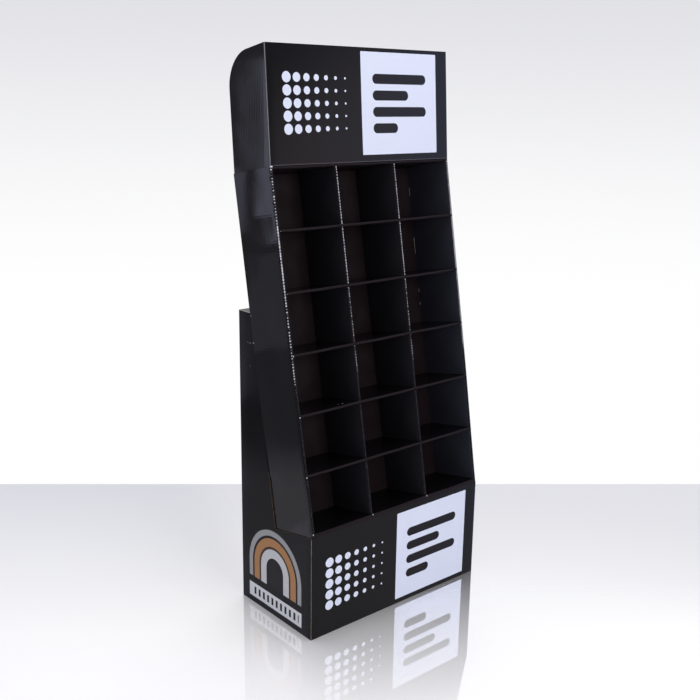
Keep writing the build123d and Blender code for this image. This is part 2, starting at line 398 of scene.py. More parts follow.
def front_print(tree, place, colour, middle_height):
    """The print of a front panel, centred at a height in millimetres."""
    field = bar(tree, place, (FIELD_X, 0.0, middle_height), FIELD_SIZE, FIELD_CORNER)
    top = middle_height + BAR_STEP * (len(BAR_LENGTHS) - 1) / 2
    left = FIELD_X - max(BAR_LENGTHS) / 2
    bars = either(tree, *[
        bar(
            tree, place, (left + length / 2, 0.0, top - i * BAR_STEP),
            (length, 0.0, BAR_THICK), BAR_THICK / 2,
        )
        for i, length in enumerate(BAR_LENGTHS)
    ])
    width, height = DOT_PITCH * DOT_COLUMNS, DOT_PITCH * DOT_ROWS
    corner = (DOT_LEFT, 0.0, middle_height - height / 2)
    offset = add(tree, "VectorMath", place, corner, operation="SUBTRACT")
    cell = add(tree, "VectorMath", offset, (1 / DOT_PITCH, 0.0, 1 / DOT_PITCH), operation="MULTIPLY")
    in_cell = add(tree, "VectorMath", cell, operation="FRACTION")
    from_dot = add(tree, "VectorMath", in_cell, (0.5, 0.0, 0.5), operation="SUBTRACT")
    distance = add(tree, "VectorMath", from_dot, operation="LENGTH", out="Value")
    column = add(tree, "SeparateXYZ", add(tree, "VectorMath", cell, operation="FLOOR"), out="X")
    shrink, largest = -DOT_SHRINK / DOT_PITCH, DOT_LARGEST / DOT_PITCH
    radius = add(tree, "Math", column, shrink, largest, operation="MULTIPLY_ADD")
    dots = add(tree, "Math", distance, radius, operation="LESS_THAN")
    dot_area = bar(tree, place, (DOT_LEFT + width / 2, 0.0, middle_height), (width, 0.0, height))
    colour = blend(tree, either(tree, field, both(tree, dots, dot_area)), colour, linear(PALE))
    return blend(tree, both(tree, bars, field), colour, linear(INK))


def side_print(tree, place, colour):
    """Arches over a ticked strip, on the base's left side."""
    above = bar(tree, place, (0.0, SIDE_Y, ARCH_FOOT + ABOVE_FOOT[2] / 2), ABOVE_FOOT)
    for radius, code in ARCH_RINGS:
        disc = bar(tree, place, (0.0, SIDE_Y, ARCH_FOOT), (0.0, 2 * radius, 2 * radius), radius)
        legs = bar(tree, place, (0.0, SIDE_Y, ARCH_FOOT - ARCH_LEG / 2), (0.0, 2 * radius, ARCH_LEG))
        colour = blend(tree, either(tree, both(tree, disc, above), legs), colour, linear(code))
    strip = bar(tree, place, (0.0, SIDE_Y, STRIP_MIDDLE), STRIP_SIZE)
    colour = blend(tree, strip, colour, linear("e9ecf0"))
    comb = add(tree, "Math", along(tree, place, (0, 1, 0)), TICK_PITCH, operation="DIVIDE")
    comb = add(tree, "Math", comb, operation="FRACT")
    ticks = add(tree, "Math", comb, TICK_SHARE, operation="LESS_THAN")
    inner = bar(tree, place, (0.0, SIDE_Y, STRIP_MIDDLE), TICKS_SIZE)
    return blend(tree, both(tree, ticks, inner), colour, linear(INK))


def turned_to(tree, direction):
    """1 where a panel is turned to a direction."""
    normal = add(tree, "TexCoord", out="Normal")
    return add(tree, "Math", along(tree, normal, direction), 0.8, operation="GREATER_THAN")


def base_print(tree, place, colour):
    """Front print where the panel faces forward, side print where it faces left, and a rubbed rim."""
    front = front_print(tree, place, colour, BASE_PRINT_MIDDLE)
    colour = blend(tree, turned_to(tree, (0, -1, 0)), colour, front)
    colour = blend(tree, turned_to(tree, (-1, 0, 0)), colour, side_print(tree, place, colour))
    rim = bar(tree, place, (BASE_RIM_X, 0.0, base_high.z / MM), BASE_RIM_SIZE)
    return blend(tree, rim, colour, linear("a08a72"))


def header_print(tree, place, colour):
    """The front print on the header's leaning front panel, and a rubbed rim along its foot."""
    forward = turned_to(tree, (0, -1, 0))
    front = front_print(tree, place, colour, HEADER_PRINT_MIDDLE)
    colour = blend(tree, forward, colour, front)
    rim = bar(tree, place, (0.0, 0.0, HEADER_RIM_HEIGHT), HEADER_RIM_SIZE)
    return blend(tree, both(tree, rim, forward), colour, linear("4a474e"))


# %% [markdown]
# ## The finishes
#
# The header and the outside of the tray mirror the lamps most sharply. The base is duller,
# and its rear folds and the tray's look matt. Inside the tray the film is dull too. The
# pockets' backs are brown black, the inside of the side walls is drawn a lighter blue black
# as a painted sheen, and the divider faces a lighter grey black as painted light inside the
# pockets. The shelves' tops are drawn darker than their lips, as painted shade under the
# shelf above. Cracked folds show white paper on the tray, grey on the header and greyish
# brown on the base; on the tray the white line is also a painted highlight.

# %% Mix the materials
UPRIGHT_ROWS = (1, 1, 0)
TRAY_ROWS = tuple(UP_TRAY)
CROSS_ROWS = tuple(INTO_TRAY)
BASE_RAW = "8c8078"
SHELF_RAW = "8f8688"
ACROSS = (1, 0, 0)
DARK_PAPER = {"tone": "2b272a", "gap": "100f11"}
EDGE_SHADOW_FROM = 452.0  # the height in millimetres above which the base's cut edges beside the tray are painted near black, a painted shadow of the gap between the tray's wall and the rear support

base_black = laminated_print(
    "black_laminated_base_board", "0c0c0f", BASE_RAW, UPRIGHT_ROWS,
    roughness=0.14, ior=1.22, print_over=base_print,
)
base_side = laminated_print(
    "black_laminated_base_side", "0e0d11", BASE_RAW, UPRIGHT_ROWS,
    roughness=0.14, ior=1.17, print_over=base_print,
)
matt_fold = laminated_print(
    "black_matt_rear_fold", "0a0a0d", BASE_RAW, UPRIGHT_ROWS, roughness=0.6, ior=1.03
)
header_black = laminated_print(
    "black_laminated_header_board", "0c0b0f", "8e8a92", UPRIGHT_ROWS,
    roughness=0.07, ior=1.34, print_over=header_print,
)
# Its raw colour also paints the highlight along the tray's folds.
tray_black = laminated_print("black_laminated_tray_board", "0d0c11", "f0eef6", TRAY_ROWS, roughness=0.06)
# Painted sheen: the inside of a side wall is the printed face carried round the front fold, drawn a
# lighter blue black.
wall_inside_painted_sheen = laminated_print("blue_black_wall_inside_with_painted_sheen", "3a3c46", "c9c6cd", TRAY_ROWS, roughness=0.4)
pocket_back = laminated_print("brown_black_tray_back", "231a1e", "8a7a74", TRAY_ROWS, roughness=0.4)
# Painted light: the divider faces are the same printed face as their black fold, drawn a lighter grey
# black for the light inside the pockets.
divider_face_painted_light = laminated_print("black_divider_face_with_painted_light", "28272c", "dcd9e0", TRAY_ROWS, roughness=0.4)
# A shelf's lip and top are one printed face. The lip's brownish black is partly its print and partly a
# painted highlight.
shelf_black = laminated_print(
    "brown_black_shelf_board", "1b1518", SHELF_RAW, CROSS_ROWS, roughness=0.35, ior=1.2
)
# Painted shade: the shelf's top is drawn darker than its lip, for the shade under the shelf above.
shelf_top_painted_shade = laminated_print("black_shelf_top_with_painted_shade", "0b0a0c", SHELF_RAW, CROSS_ROWS, ior=1.25)
# Above its height this cut edge is painted near black: a painted shadow in the gap between the tray's wall
# and the rear support.
upright_edge = cut_edge("cut_edge_upright_flutes", UPRIGHT_ROWS, ACROSS, shadow_above=EDGE_SHADOW_FROM)
# Cut edges drawn in dark paper instead of tan: on the header, and on the base's front top edge under the
# bottom shelf's lip.
dark_cut_edge = cut_edge("dark_cut_edge_material", UPRIGHT_ROWS, ACROSS, **DARK_PAPER)
tray_edge = cut_edge("cut_edge_cross_flutes", TRAY_ROWS, ACROSS, **DARK_PAPER)
shelf_edge = cut_edge("cut_edge_shelf", CROSS_ROWS, TRAY_ROWS)
kraft = kraft_liner("kraft_liner")
print("materials mixed:", len(bpy.data.materials))

# %% [markdown]
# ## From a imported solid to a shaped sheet
#
# A real sheet isn't quite flat, and its folds are dented where the flutes collapse. Moving
# the surface needs points to move, so each sheet starts as a copy of its solid, is cut
# along evenly spaced planes, and is then pushed by a smooth rule. A copy keeps every slot
# and tab where the construction has it. The other way would be to draw each sheet anew,
# which would only risk a tab that misses its notch.


# %% Helpers for shaping
FLAT_BELOW = math.radians(0.5)
SMOOTH_BELOW = math.radians(32)
ONE_PLY_ERROR = 0.12
TWO_PLY_ERROR = 0.06


def only(piece):
    """Selects one object and nothing else."""
    bpy.ops.object.select_all(action="DESELECT")
    piece.select_set(True)
    bpy.context.view_layer.objects.active = piece


def duplicate(original, name):
    """A copy of an object with its own mesh, both under one name."""
    only(original)
    bpy.ops.object.duplicate()
    copy = bpy.context.object
    copy.name = name
    copy.data.name = name
    return copy


def carry_over(node, name):
    """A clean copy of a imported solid: shared points merged and flat faces joined."""
    piece = duplicate(nodes[node], name)
    piece.parent = None
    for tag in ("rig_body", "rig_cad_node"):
        del piece[tag]
    piece.data.materials.clear()
    bpy.ops.object.mode_set(mode="EDIT")
    bpy.ops.mesh.select_all(action="SELECT")
    bpy.ops.mesh.customdata_custom_splitnormals_clear()
    bpy.ops.mesh.remove_doubles(threshold=TOUCHING)
    bpy.ops.mesh.dissolve_limited(angle_limit=FLAT_BELOW)
    bpy.ops.object.mode_set(mode="OBJECT")
    return piece


def select_faces(piece, test):
    """Selects the faces whose centre and normal pass a test. The piece stays in object mode."""
    mesh = piece.data
    for item in (*mesh.vertices, *mesh.edges, *mesh.polygons):
        item.select = False
    for face in mesh.polygons:
        face.select = bool(test(face.center, face.normal))


def slice_across(piece, normal, start, stop, step, test=None):
    """Cuts the piece, or the faces that pass a test, with evenly spaced planes."""
    normal = Vector(normal)
    only(piece)
    select_faces(piece, test or (lambda centre, facing: True))
    bpy.ops.object.mode_set(mode="EDIT")
    bpy.ops.mesh.select_mode(type="FACE")
    bpy.ops.mesh.hide(unselected=True)
    for i in range(math.ceil((stop - start) / step - 1e-6)):
        bpy.ops.mesh.select_all(action="SELECT")
        bpy.ops.mesh.bisect(plane_co=normal * (start + i * step), plane_no=normal)
    bpy.ops.mesh.reveal(select=False)
    bpy.ops.object.mode_set(mode="OBJECT")


def push(piece, rule):
    """Moves every point by what the rule gives for it."""
    for point in piece.data.vertices:
        point.co += rule(point.co)
    piece.data.update()


def paint(piece, *finishes):
    """Gives the piece its materials: pairs of a material and the test for its faces, later ones on top."""
    for i, (material, test) in enumerate(finishes):
        piece.data.materials.append(material)
        for face in piece.data.polygons:
            if test(face):
                face.material_index = i


def everywhere(face):
    """True for every face."""
    return True


def is_cut(piece):
    """Test for the long faces as narrow as one or two boards, where the sheet was cut."""
    points = piece.data.vertices

    def test(face):
        ring = [points[i].co for i in face.vertices]
        longest = max((ring[i] - ring[i - 1]).length for i in range(len(ring)))
        plies = face.area / longest / BOARD
        whole = abs(plies - 1) < ONE_PLY_ERROR or abs(plies - 2) < TWO_PLY_ERROR
        return whole and longest > 2 * plies * BOARD

    return test


def wear_and_highlight(piece, amount):
    """Writes how worn each point is, and on the tray's folds how much painted highlight it carries, for
    the material to read.
    """
    attribute = piece.data.attributes.new("wear_and_highlight", "FLOAT", "POINT")
    attribute.data.foreach_set("value", [amount(point.co) for point in piece.data.vertices])


def settle_in(piece, node):
    """Smooths the folds, hands the piece to the frame and lets it stand for its solid."""
    only(piece)
    bpy.ops.object.shade_smooth_by_angle(angle=SMOOTH_BELOW)
    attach(piece, "root")
    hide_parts(node)
    print(piece.name, len(piece.data.vertices), "points,", len(piece.data.polygons), "faces")


# %% [markdown]
# ## The tray
#
# The tray's sheet makes the back, the bottom and both side walls. Each wall is folded round
# at the front and comes back inside itself, so its front edge is a soft half round of eight
# millimetres. The flutes run front to back here, and where they go round the fold they
# collapse one by one into a row of small dents, all the way up. Along the fold runs a pale
# line of cracked ink, which higher up is also a painted highlight for the light that the
# glossy fold catches there.
# The walls also wander in and out a little between their ends, because nothing holds them
# there, and their foot is drawn in where it stands between the sides of the base.

# %% Rules for the tray's walls and dents
WALL_WAVE = 1.1 * MM
WALL_WAVES = (  # each one's length up and into the tray, its shift for each side, and its share
    (61 * MM, math.inf, 1.1, 0.5),
    (27 * MM, 45 * MM, 0.0, 0.22),
    (105 * MM, -38 * MM, 1.0, 0.5),
)
PINCH = 4 * MM
PINCH_RISE = 420 * MM
REAR_PINCH = (60 * MM, 165 * MM)
CATCH = (158 * MM, 176 * MM)
FLUTES = 200
DENT_DEPTH = 0.28
DENT_CUT = 2 * MM
# The next two: the stretch up the lean over which the fold line grows from faint to full, and its share
# below. The full upper part is a painted highlight as well as cracked ink.
HIGHLIGHT_RISE = (380 * MM, 480 * MM)
FAINT_LINE_BELOW = 0.12
DOTS_CLOSE_UP = (600 * MM, 720 * MM)
FEWEST_DOTS = 0.15
DOTS_RISE = 40 * MM
# On the right wall the line has fewer dots and a smaller share; it is also partly a painted highlight.
RIGHT_DOTS = 0.3
RIGHT_LINE_SHARE = 0.6
WHOLE_END = (TRAY_TOP - 9 * MM, TRAY_TOP - 4 * MM)
TORN_END = (TRAY_TOP - 5 * MM, TRAY_TOP - 2 * MM)
TORN_WEAR = 0.8
dice = random.Random(5)
flute_strength = [dice.uniform(0.55, 1.0) for _ in range(FLUTES)]
flute_shift = [dice.uniform(-0.12, 0.12) for _ in range(FLUTES)]
flute_torn = [dice.choice((0.45, 0.8, 1.0, 1.0, 1.15)) for _ in range(FLUTES)]


def smooth_step(value, low, high):
    """0 below low, 1 above high, and a soft climb between."""
    share = min(max((value - low) / (high - low), 0.0), 1.0)
    return share * share * (3 - 2 * share)


def dent(up):
    """How far a flute has collapsed at a height up the lean: 0 on the ridges, up to 1 between."""
    flutes = up / FLUTE_PITCH
    index = int(flutes) % FLUTES
    turn = flutes - int(flutes) + flute_shift[index] * math.sin(math.pi * (flutes - int(flutes)))
    return flute_strength[index] * (0.5 - 0.5 * math.cos(2 * math.pi * turn)) ** 1.5


def pinch(into, up):
    """How far the foot of a side wall stands in from the side of the base."""
    foot = 1 - smooth_step(up, 0, PINCH_RISE)
    rear = smooth_step(into, *REAR_PINCH) * (1 - smooth_step(up, *CATCH))
    return PINCH * max(foot, rear)


def wall_rule(point):
    """The pinched foot and the slow inward waves of the tray's side walls."""
    if abs(point.x) < tray_high.x - 2.2 * BOARD:
        return Vector()
    into, up = tray_place(point)
    climb_share = min(max(up / TRAY_TOP, 0.0), 1.0)
    front_share = min(max((TRAY_INSIDE - into) / TRAY_INSIDE, 0.0), 1.0)
    side = math.copysign(1.0, point.x)
    window = math.sin(math.pi * climb_share) ** 0.5 * math.sin(math.pi * front_share)
    slow = sum(
        share * math.sin(up / up_length + into / into_length + shift * side)
        for up_length, into_length, shift, share in WALL_WAVES
    )
    outside = smooth_step(abs(point.x), tray_high.x - BOARD, tray_high.x - 0.4 * BOARD)
    wave = WALL_WAVE * window * outside * (0.5 + slow / 2.5)
    return Vector((-side * (pinch(into, up) + wave), 0, 0))


def fold_rule(axis_of, centre_into):
    """Collapsed flutes on a half round fold: points move towards the middle of the fold."""

    def rule(point):
        into, up = tray_place(point)
        if into > centre_into - TOUCHING:
            return Vector()
        axis_x, _ = axis_of(point)
        inward = Vector((axis_x - point.x, 0, 0)) + INTO_TRAY * (centre_into - into)
        tip = min((centre_into - into) / BOARD, 1.0)
        return inward * (DENT_DEPTH * dent(up) * tip)

    return rule


def fold_wear_and_highlight(axis_of, centre_into, line_width, strength, dots_from):
    """How far the ink on a dented fold has cracked, along a line at a turn from the very front.

    The line is faint low down and brighter higher up, where it is also a painted highlight on
    the glossy fold. It breaks up into dots where the flutes tore. Its top end is torn, except
    on the right wall, where the line is weaker and stops short.
    """

    def amount(point):
        into, up = tray_place(point)
        if into > centre_into - TOUCHING:
            return 0.0
        axis_x, line_turn = axis_of(point)
        on_right = axis_x > 0
        turn = math.degrees(math.atan2(point.x - axis_x, centre_into - into))
        line = math.exp(-(((turn - line_turn) / line_width) ** 2))
        # Painted highlight: the line is faint low down and full higher up.
        height = FAINT_LINE_BELOW + (1 - FAINT_LINE_BELOW) * smooth_step(up, *HIGHLIGHT_RISE)
        dotted_below = 1 - (1 - FEWEST_DOTS) * smooth_step(up, *DOTS_CLOSE_UP)
        dotted = max(smooth_step(up, dots_from, dots_from + DOTS_RISE), dotted_below)
        dotted *= RIGHT_DOTS if on_right else 1.0
        ridge = (1.0 - 0.9 * dent(up)) ** (0.6 + 3.0 * dotted)
        ridge *= 1 + dotted * (flute_torn[round(up / FLUTE_PITCH) % FLUTES] - 1)
        cracked = strength * line * height * ridge
        if on_right:
            return RIGHT_LINE_SHARE * cracked * (1 - smooth_step(up, *WHOLE_END))
        return max(cracked, TORN_WEAR * smooth_step(up, *TORN_END))

    return amount


def wall_axis(point):
    """The middle of the nearer wall's fold, and the turn from the front at which its line of cracked ink
    and painted highlight lies.
    """
    return (-WALL_MIDDLE, -48) if point.x < 0 else (WALL_MIDDLE, -28)


# %% Shape the tray's sheet
GRID_UP = 15 * MM
GRID_INTO = 14 * MM
SQUARELY = 0.95
tray_base_up = TRAY_CORNER.dot(UP_TRAY)
tray_base_into = TRAY_CORNER.dot(INTO_TRAY)
tray_top_up = tray_base_up + TRAY_TOP


def in_front_of(into_limit):
    """Test for the faces of a fold that lie in front of a depth into the tray."""
    return lambda centre, facing: tray_place(centre)[0] < into_limit - TOUCHING


def slice_fold(piece, into_limit):
    """Cuts the front of a fold finely up the lean, for the dents."""
    start = tray_base_up + DENT_CUT
    slice_across(piece, UP_TRAY, start, tray_top_up, DENT_CUT, in_front_of(into_limit))


def inside_a_wall(face):
    """True for the pockets' side of the two side walls."""
    return abs(face.normal.x) > SQUARELY and abs(face.center.x) < WALL_MIDDLE


def at_the_back(face):
    """True for the front of the tray's back."""
    return face.normal.dot(INTO_TRAY) < -SQUARELY and tray_place(face.center)[0] > TRAY_INSIDE - MM


def rear_fold(face):
    """True for the round folds between the side walls and the back."""
    slanting = face.normal.dot(INTO_TRAY) > 0.2 and 0.2 < abs(face.normal.x) < 0.98
    return slanting and abs(face.center.x) > WALL_MIDDLE


tray_sheet = carry_over("tray_wrap", "tray_sheet")
paint(
    tray_sheet,
    (tray_black, everywhere),
    (wall_inside_painted_sheen, inside_a_wall),
    (pocket_back, at_the_back),
    (tray_edge, is_cut(tray_sheet)),
    (matt_fold, rear_fold),
)
slice_across(tray_sheet, UP_TRAY, tray_base_up + GRID_UP, tray_top_up, GRID_UP)
grid_end = tray_base_into + TRAY_INSIDE - 5 * MM
slice_across(tray_sheet, INTO_TRAY, tray_base_into + GRID_INTO, grid_end, GRID_INTO)
slice_fold(tray_sheet, 0.0)
# The folds' line is cracked ink and, higher up, a painted highlight.
wear_and_highlight(tray_sheet, fold_wear_and_highlight(wall_axis, 0.0, line_width=30, strength=1.05, dots_from=860 * MM))
push(tray_sheet, fold_rule(wall_axis, 0.0))
push(tray_sheet, wall_rule)
settle_in(tray_sheet, "tray_wrap")

# %% [markdown]
# ## The dividers
#
# Each divider is one strip folded in half, with the same dented half round in front. The
# left one is shaped first and the right one is a copy, moved to its own place.

# %% Shape the dividers
DIVIDER_FOLD = 2 * MM
NEVER = 2 * TRAY_TOP  # a height that no point reaches

divider = carry_over("divider_left", "divider_sheet_left")
divider_x = middle("divider_left").x


def divider_axis(point):
    """The middle of the left divider's fold, and the turn from the front at which its line of cracked ink
    and painted highlight lies.
    """
    return divider_x, 25


paint(
    divider,
    (tray_black, everywhere),
    (divider_face_painted_light, lambda face: abs(face.normal.x) > SQUARELY),
    (tray_edge, is_cut(divider)),
)
slice_fold(divider, DIVIDER_FOLD)
# The divider's fold line is cracked ink and, higher up, a painted highlight.
wear_and_highlight(divider, fold_wear_and_highlight(divider_axis, DIVIDER_FOLD, line_width=34, strength=0.8, dots_from=NEVER))
push(divider, fold_rule(divider_axis, DIVIDER_FOLD))
divider_copy = duplicate(divider, "divider_sheet_right")
divider_gap = middle("divider_right") - middle("divider_left")
push(divider_copy, lambda point: divider_gap)
settle_in(divider, "divider_left")
settle_in(divider_copy, "divider_right")

# %% [markdown]
# ## The shelves
#
# A shelf's flutes run from side to side, so its fold rolls round smoothly, without dents.
# Its lip still wanders by a few tenths of a millimetre, and each shelf does so in its own
# way. The five shelves between are one shape, copied up the lean and then settled.

# %% Shape the shelves
LIP_WANDER = 0.27 * MM
LIP_REACH = 25 * MM  # over this depth the wander and the sag fade to about a third
LIP_RUBBED = 0.1
LONG_WANDER = 47 * MM
SHORT_WANDER = 19 * MM
SHELF_SAG = 0.5 * MM
SHELF_ENDS = (280 * MM, 325 * MM)
SHELF_GRID = 10 * MM
SHELF_GRID_END = 320 * MM
COLUMN = divider_gap.x


def shelf_rule(level):
    """Small wander of a shelf's lip, a slight sag in each column, and ends drawn in with the walls."""
    seed = level * 1.7

    def rule(point):
        into, up = tray_place(point)
        lip = math.exp(-max(into, 0.0) / LIP_REACH)
        end = smooth_step(abs(point.x), *SHELF_ENDS) * math.copysign(1.0, point.x)
        wander = math.sin(point.x / LONG_WANDER + seed)
        wander += 0.6 * math.sin(point.x / SHORT_WANDER + 2.3 * seed)
        sag = 0.5 - 0.5 * math.cos(2 * math.pi * (point.x / COLUMN + 0.5))
        lift = UP_TRAY * (lip * (LIP_WANDER * wander - SHELF_SAG * sag))
        return lift - Vector((end * pinch(into, up), 0, 0))

    return rule


def lip_wear(point):
    """Lips are only rubbed, most at the very front."""
    into, _ = tray_place(point)
    return LIP_RUBBED * min(max((MM - into) / BOARD, 0.0), 1.0)


def dress_shelf(piece, level, node):
    """Finishes a sliced shelf: its wear, its wander and its place in the frame."""
    wear_and_highlight(piece, lip_wear)
    push(piece, shelf_rule(level))
    settle_in(piece, node)


def start_shelf(node, name):
    """A clean copy of a shelf, painted and cut from side to side."""
    piece = carry_over(node, name)
    cut = is_cut(piece)
    paint(
        piece,
        (shelf_black, everywhere),
        (shelf_top_painted_shade, lambda face: face.normal.dot(UP_TRAY) > SQUARELY),
        (shelf_edge, lambda face: abs(face.normal.x) > 0.9 and cut(face)),
    )
    slice_across(piece, ACROSS, -SHELF_GRID_END, SHELF_GRID_END, SHELF_GRID)
    return piece


first = start_shelf("shelf_1", "shelf_sheet_1")
for level in range(2, 6):
    shelf = duplicate(first, f"shelf_sheet_{level}")
    rise = middle(f"shelf_{level}") - middle("shelf_1")
    push(shelf, lambda point: rise)
    dress_shelf(shelf, level, f"shelf_{level}")
dress_shelf(first, 1, "shelf_1")
dress_shelf(start_shelf("bottom_shelf", "bottom_shelf_sheet"), 0, "bottom_shelf")
dress_shelf(start_shelf("top_shelf", "top_shelf_sheet"), 6, "top_shelf")

# %% [markdown]
# ## The base and the header
#
# Both are boxes with upright flutes. Their panels sink in by less than a millimetre between
# the folds, which is enough to bend what they mirror. The ink is cracked along the upright
# folds: down to the brown paper on the base, which has been knocked about, and only to
# grey on the header.

# %% Shape the base
PANEL_SINK = 0.9 * MM
FOLD = 3 * MM
OUTER_PLY = 1.2 * BOARD  # points nearer to the outside than this belong to the outer panel
GRID = 28 * MM
SHORT_EDGE_TOP = FRONT_HEIGHT + 100 * MM  # higher than the cut edges under the tray


def sunk(low, high, value):
    """0 at both ends of a stretch and 1 in its middle."""
    share = min(max((value - low) / (high - low), 0.0), 1.0)
    return math.sin(math.pi * share)


def ripple(first, second):
    """A slow uneven wave over a panel, between about 0.4 and 1."""
    slow = math.sin(first / (70 * MM) + second / (160 * MM))
    return 0.7 + 0.2 * slow + 0.1 * math.sin(second / (48 * MM))


def base_rule(point):
    """Panels of the base sink in between their folds."""
    move = Vector()
    along_depth = sunk(base_low.y, base_high.y, point.y)
    if abs(point.x) > base_high.x - OUTER_PLY:
        move.x = -math.copysign(1, point.x) * PANEL_SINK * along_depth * ripple(point.z, point.y)
    elif point.z < FRONT_HEIGHT + MM and point.y < base_low.y + OUTER_PLY:
        move.y = PANEL_SINK * sunk(base_low.x, base_high.x, point.x) * ripple(point.x, point.z)
    return move


def corner_wear(reach_front, amounts):
    """Wear of the two front folds: reach_front gives the panel's front at a height."""

    def amount(point):
        from_front = point.y - reach_front(point.z)
        from_side = base_high.x - abs(point.x)
        if from_front > FOLD or from_side > FOLD:
            return 0.0
        round_share = 1.0 - abs(from_front - from_side) / FOLD
        rubbed = 0.8 + 0.2 * math.sin(point.z / (23 * MM)) * math.sin(point.z / (9 * MM))
        return amounts[0 if point.x < 0 else 1] * max(round_share, 0.0) ** 0.7 * rubbed

    return amount


def base_outside(face):
    """True for the printed outside of the base."""
    centre, facing = face.center, face.normal
    return (
        (abs(facing.x) > 0.2 and abs(centre.x) > base_high.x - MM and facing.x * centre.x > 0)
        or (facing.y < -0.2 and centre.y < base_low.y + MM)
        or (facing.y > 0.2 and centre.y > base_high.y - MM)
        or (facing.z > 0.9 and centre.z > base_high.z - 0.5 * MM)
    )


def beside_the_tray(face):
    """True for the cut edges of the sides that lean with the tray, behind it and under it."""
    behind = face.normal.dot(INTO_TRAY) < -0.99
    under = face.normal.dot(UP_TRAY) > 0.99 and face.center.z < SHORT_EDGE_TOP
    return behind or under


def front_top_edge(face):
    """True for the upper cut edge of the front panel."""
    return face.normal.z > 0.9 and face.center.y < base_low.y + BOARD


def slice_grid(piece, low, high):
    """Cuts a box with evenly spaced planes in all three directions."""
    for axis in (2, 0, 1):
        normal = Vector()
        normal[axis] = 1
        slice_across(piece, normal, low[axis] + GRID, high[axis] - GRID / 2, GRID)


base_sheet = carry_over("base_wrap", "base_sheet")
paint(
    base_sheet,
    (kraft, everywhere),
    (upright_edge, is_cut(base_sheet)),
    # Above the shadow height these cut edges are painted near black, a painted shadow of the gap beside
    # the tray.
    (upright_edge, beside_the_tray),
    (dark_cut_edge, front_top_edge),
    (base_black, base_outside),
    (base_side, lambda face: abs(face.normal.x) > 0.98 and base_outside(face)),
    (matt_fold, lambda face: 0.2 < face.normal.y < 0.97 and base_outside(face)),
)
slice_grid(base_sheet, base_low, base_high)
wear_and_highlight(base_sheet, corner_wear(lambda height: base_low.y, (0.75, 0.35)))
push(base_sheet, base_rule)
settle_in(base_sheet, "base_wrap")

# %% Shape the header
header_middle = (header_low + header_high) / 2
front_foot = min((v.co for v in nodes["header_wrap"].data.vertices), key=lambda co: co.y)
front_head = max((v.co for v in nodes["header_wrap"].data.vertices), key=lambda co: co.z - co.y)
HEADER_SLOPE = (front_head.y - front_foot.y) / (front_head.z - front_foot.z)


def header_front(height):
    """Where the header's front panel stands at a height."""
    return front_foot.y + (height - front_foot.z) * HEADER_SLOPE


def header_rule(point):
    """Panels of the header sink in between their folds."""
    move = Vector()
    upright = sunk(header_low.z, header_high.z, point.z)
    if abs(point.x) > header_high.x - OUTER_PLY:
        share = sunk(header_front(point.z), header_high.y, point.y)
        move.x = -math.copysign(1, point.x) * PANEL_SINK * share * ripple(point.z, point.y)
    elif point.y < header_front(point.z) + OUTER_PLY:
        share = upright * sunk(header_low.x, header_high.x, point.x)
        move.y = PANEL_SINK * share * ripple(point.x, point.z)
    return move


def header_outside(face):
    """True for the printed outside of the header's front and sides."""
    centre, facing = face.center, face.normal
    outward_side = abs(facing.x) > 0.2 and abs(centre.x) > header_high.x - MM and facing.x * centre.x > 0
    return outward_side or facing.y < -0.2


def header_edge(face):
    """True for the header's level cut edges and for the cut edges of its side panels."""
    level = abs(face.normal.z) > 0.9
    in_a_side = abs(face.center.x) > header_high.x - BOARD
    return abs(face.normal.x) < 0.02 and (level or in_a_side) and not header_outside(face)


header_sheet = carry_over("header_wrap", "header_sheet")
paint(
    header_sheet,
    (kraft, everywhere),
    (header_black, header_outside),
    (dark_cut_edge, is_cut(header_sheet)),
    (dark_cut_edge, header_edge),
)
slice_grid(header_sheet, header_low, header_high)
wear_and_highlight(header_sheet, corner_wear(header_front, (1.0, 0.3)))
push(header_sheet, header_rule)
settle_in(header_sheet, "header_wrap")

header_lid = carry_over("header_cover", "header_cover_sheet")
paint(
    header_lid,
    (kraft, everywhere),
    (header_black, lambda face: face.normal.dot(face.center - header_middle) > 0),
    (dark_cut_edge, is_cut(header_lid)),
)
wear_and_highlight(header_lid, lambda point: 0.0)
settle_in(header_lid, "header_cover")

# %% [markdown]
# ## What stays hidden
#
# The cradle under the tray, the crossed risers in the base and the brace in the header keep
# their solids. They are plain kraft board, seen only through gaps.

# %% Finish the hidden sheets
for name in ("tray_cradle", "riser_long", "riser_fin_left", "riser_fin_right", "header_brace"):
    for place in nodes[name].material_slots:
        place.material = kraft
print("hidden sheets in plain kraft")

# %% [markdown]
# ## Torn paper
#
# Wherever a tab was pushed through a notch or a fold was knocked, the top paper has torn
# and stands up as a white tuft of two or three millimetres. In the tray's rear corner and on
# the bottom shelf it has come off in longer strips. One scrap is crumpled from a small grid,
# and each tuft is a copy of it, laid out along its own two directions.

# %% Tufts of torn paper
bpy.ops.mesh.primitive_grid_add(x_subdivisions=5, y_subdivisions=5, size=1.0)
scrap = bpy.context.object
bpy.ops.object.mode_set(mode="EDIT")
bpy.ops.transform.vertex_random(offset=0.1, uniform=0.6, normal=0.3, seed=4)
bpy.ops.object.mode_set(mode="OBJECT")
SIDEWAYS = Vector((1, 0, 0))
BACKWARD = Vector((0, 1, 0))
UPRIGHT = Vector((0, 0, 1))
SIDE_INSET = 0.52
PAPER = 0.2 * MM


def in_tray(x, into, up):
    """A place given in millimetres across, into and up the tray."""
    return TRAY_CORNER + SIDEWAYS * (x * MM) + INTO_TRAY * (into * MM) + UP_TRAY * (up * MM)


def on_side(y, z):
    """A place given in millimetres on the left side of the base, just inside its outline."""
    return Vector((base_low.x + SIDE_INSET * MM, y * MM, z * MM))


